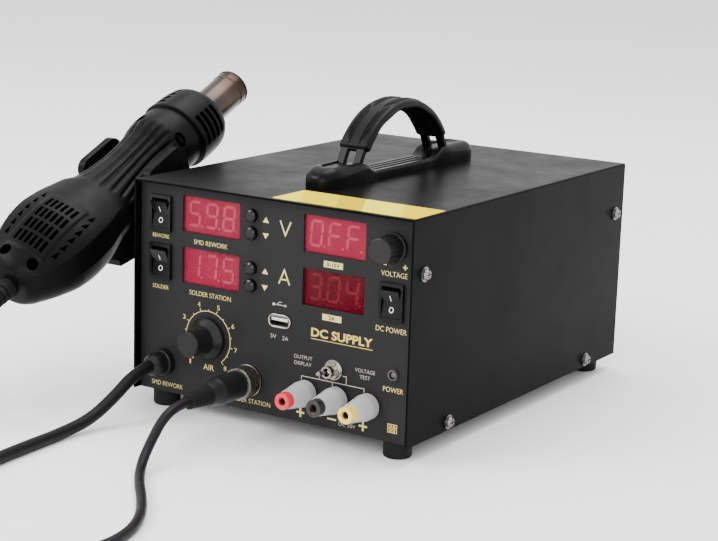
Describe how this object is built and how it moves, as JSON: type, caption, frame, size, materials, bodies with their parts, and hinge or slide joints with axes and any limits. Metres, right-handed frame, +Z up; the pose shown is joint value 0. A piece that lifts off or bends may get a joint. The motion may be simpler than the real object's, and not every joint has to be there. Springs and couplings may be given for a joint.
{
  "type": "bench power supply",
  "caption": "Sheet-steel bench supply and rework station with red displays, rockers, knobs, binding posts, carry strap, hot-air gun in a side cradle and soldering iron on its lead.",
  "frame": {"origin": "on the floor under the middle of the footprint of everything but the free leads and their boots", "axes": "+X to the right and +Y to the back as seen from the front, +Z up"},
  "size_m": [0.3468, 0.5396, 0.1805],
  "materials": {
    "black_steel": "fine satin powder coat",
    "panel_black": "smooth matt paint with printed legends",
    "rubber": "matt",
    "screw_chrome": "polished",
    "handle_plastic": "satin moulded",
    "handle_grip_rubber": "satin soft-touch",
    "switch_plastic": "satin",
    "red_filter": "tinted clear",
    "display_face": "matt face with moulded segments",
    "button_plastic": "satin",
    "knob_plastic": "fine grain",
    "zinc": "plain",
    "nickel": "nickel plated",
    "post_red": "gloss",
    "post_black": "gloss",
    "post_yellow": "gloss",
    "post_grey": "satin moulded",
    "brass": "plated",
    "lamp_plastic": "gloss",
    "plug_plastic": "satin",
    "laminations": "varnished stack",
    "winding": "taped winding",
    "board": "solder mask",
    "gun_plastic": "fine moulded grain",
    "heated_steel": "heat tinted",
    "cord": "satin silicone"
  },
  "bodies": {
    "station": {"top_cover": "black_steel", "base_pan": "black_steel", "rear_panel": "black_steel", "front_panel": "panel_black", "rubber_feet": "rubber", "case_screws": "screw_chrome", "handle_base": "handle_plastic", "handle_strap": "handle_plastic", "handle_grip": "handle_grip_rubber", "rocker_housings": "switch_plastic", "display_filters": "red_filter", "display_modules": "display_face", "pot_bodies": "zinc", "toggle_switch": "nickel", "post_studs": "brass", "post_insulators": "switch_plastic", "usb_socket": "nickel", "power_lamp": "lamp_plastic", "cord_gland": "knob_plastic", "iron_socket": "nickel", "plug_body": "plug_plastic", "plug_boot": "rubber", "fan_frame": "switch_plastic", "power_inlet": "switch_plastic", "transformer_core": "laminations", "transformer_coil": "winding", "circuit_boards": "board", "gun_holder": "gun_plastic", "gun_top_shell": "gun_plastic", "gun_bottom_shell": "gun_plastic", "gun_tube": "heated_steel", "gun_boot": "rubber", "iron_handle": "gun_plastic", "iron_grip": "rubber", "iron_nut": "gun_plastic", "iron_tip": "nickel", "iron_boot": "rubber", "gun_cord": "cord", "gun_cord_coil": "cord", "iron_cord": "cord", "iron_cord_coil": "cord"},
    "rework_rocker": {"rework_rocker": "switch_plastic"},
    "solder_rocker": {"solder_rocker": "switch_plastic"},
    "dc_power_rocker": {"dc_power_rocker": "switch_plastic"},
    "rework_up_button": {"rework_up_button": "button_plastic"},
    "rework_down_button": {"rework_down_button": "button_plastic"},
    "solder_up_button": {"solder_up_button": "button_plastic"},
    "solder_down_button": {"solder_down_button": "button_plastic"},
    "air_knob": {"air_knob": "knob_plastic"},
    "voltage_knob": {"voltage_knob": "knob_plastic"},
    "toggle_lever": {"toggle_lever": "nickel"},
    "plug_ring": {"plug_ring": "nickel"},
    "fan_impeller": {"fan_impeller": "switch_plastic"},
    "gun_impeller": {"gun_impeller": "switch_plastic"},
    "red_post_core": {"red_post_core": "post_red"},
    "red_post_collar": {"red_post_collar": "post_grey"},
    "black_post_core": {"black_post_core": "post_black"},
    "black_post_collar": {"black_post_collar": "post_grey"},
    "yellow_post_core": {"yellow_post_core": "post_yellow"},
    "yellow_post_collar": {"yellow_post_collar": "post_grey"}
  },
  "joints": [
    {"name": "rework_switch_rock", "type": "hinge", "parent": "station", "child": "rework_rocker", "pos_m": [-0.0013, -0.02531, 0.1154], "axis": [1, 0, 0], "range_deg": [-18, 0]},
    {"name": "solder_switch_rock", "type": "hinge", "parent": "station", "child": "solder_rocker", "pos_m": [-0.0013, -0.02531, 0.0873], "axis": [1, 0, 0], "range_deg": [-18, 0]},
    {"name": "dc_power_switch_rock", "type": "hinge", "parent": "station", "child": "dc_power_rocker", "pos_m": [0.1554, -0.02531, 0.0873], "axis": [1, 0, 0], "range_deg": [-18, 0]},
    {"name": "rework_up_press", "type": "slide", "parent": "station", "child": "rework_up_button", "axis": [0, 1, 0], "range_m": [0, 0.001], "stiffness_N_per_m": 400, "springref_m": -0.0005},
    {"name": "rework_down_press", "type": "slide", "parent": "station", "child": "rework_down_button", "axis": [0, 1, 0], "range_m": [0, 0.001], "stiffness_N_per_m": 400, "springref_m": -0.0005},
    {"name": "solder_up_press", "type": "slide", "parent": "station", "child": "solder_up_button", "axis": [0, 1, 0], "range_m": [0, 0.001], "stiffness_N_per_m": 400, "springref_m": -0.0005},
    {"name": "solder_down_press", "type": "slide", "parent": "station", "child": "solder_down_button", "axis": [0, 1, 0], "range_m": [0, 0.001], "stiffness_N_per_m": 400, "springref_m": -0.0005},
    {"name": "air_turn", "type": "hinge", "parent": "station", "child": "air_knob", "pos_m": [0.033, -0.03231, 0.047], "axis": [0, 1, 0], "range_deg": [0, 270]},
    {"name": "voltage_turn", "type": "hinge", "parent": "station", "child": "voltage_knob", "pos_m": [0.1557, -0.03231, 0.117], "axis": [0, 1, 0], "range_deg": [0, 300]},
    {"name": "toggle_throw", "type": "hinge", "parent": "station", "child": "toggle_lever", "pos_m": [0.1194, -0.03171, 0.0437], "axis": [0, 0, 1], "range_deg": [0, 26]},
    {"name": "red_post_travel", "type": "slide", "parent": "station", "child": "red_post_core", "axis": [0, -1, 0], "range_m": [0, 0.003]},
    {"name": "red_post_turn", "type": "hinge", "parent": "red_post_core", "child": "red_post_collar", "pos_m": [0.102, -0.03231, 0.0278], "axis": [0, -1, 0], "range_deg": [0, 1543.1]},
    {"name": "black_post_travel", "type": "slide", "parent": "station", "child": "black_post_core", "axis": [0, -1, 0], "range_m": [0, 0.003]},
    {"name": "black_post_turn", "type": "hinge", "parent": "black_post_core", "child": "black_post_collar", "pos_m": [0.1225, -0.03231, 0.0278], "axis": [0, -1, 0], "range_deg": [0, 1543.1]},
    {"name": "yellow_post_travel", "type": "slide", "parent": "station", "child": "yellow_post_core", "axis": [0, -1, 0], "range_m": [0, 0.003]},
    {"name": "yellow_post_turn", "type": "hinge", "parent": "yellow_post_core", "child": "yellow_post_collar", "pos_m": [0.143, -0.03231, 0.0278], "axis": [0, -1, 0], "range_deg": [0, 1543.1]},
    {"name": "plug_ring_turn", "type": "hinge", "parent": "station", "child": "plug_ring", "pos_m": [0.0627, -0.03231, 0.0278], "axis": [0, -1, 0], "range_deg": [0, 720]},
    {"name": "fan_spin", "type": "hinge", "parent": "station", "child": "fan_impeller", "pos_m": [0.0304, 0.21069, 0.078], "axis": [0, 1, 0], "continuous": true},
    {"name": "gun_fan_spin", "type": "hinge", "parent": "station", "child": "gun_impeller", "pos_m": [-0.0626, -0.04934, 0.09157], "axis": [0, -0.4226, 0.9063], "continuous": true}
  ],
  "couplings": [
    {"joint": "red_post_turn", "follows": "red_post_travel", "rad_per_m": 8976},
    {"joint": "black_post_turn", "follows": "black_post_travel", "rad_per_m": 8976},
    {"joint": "yellow_post_turn", "follows": "yellow_post_travel", "rad_per_m": 8976}
  ]
}
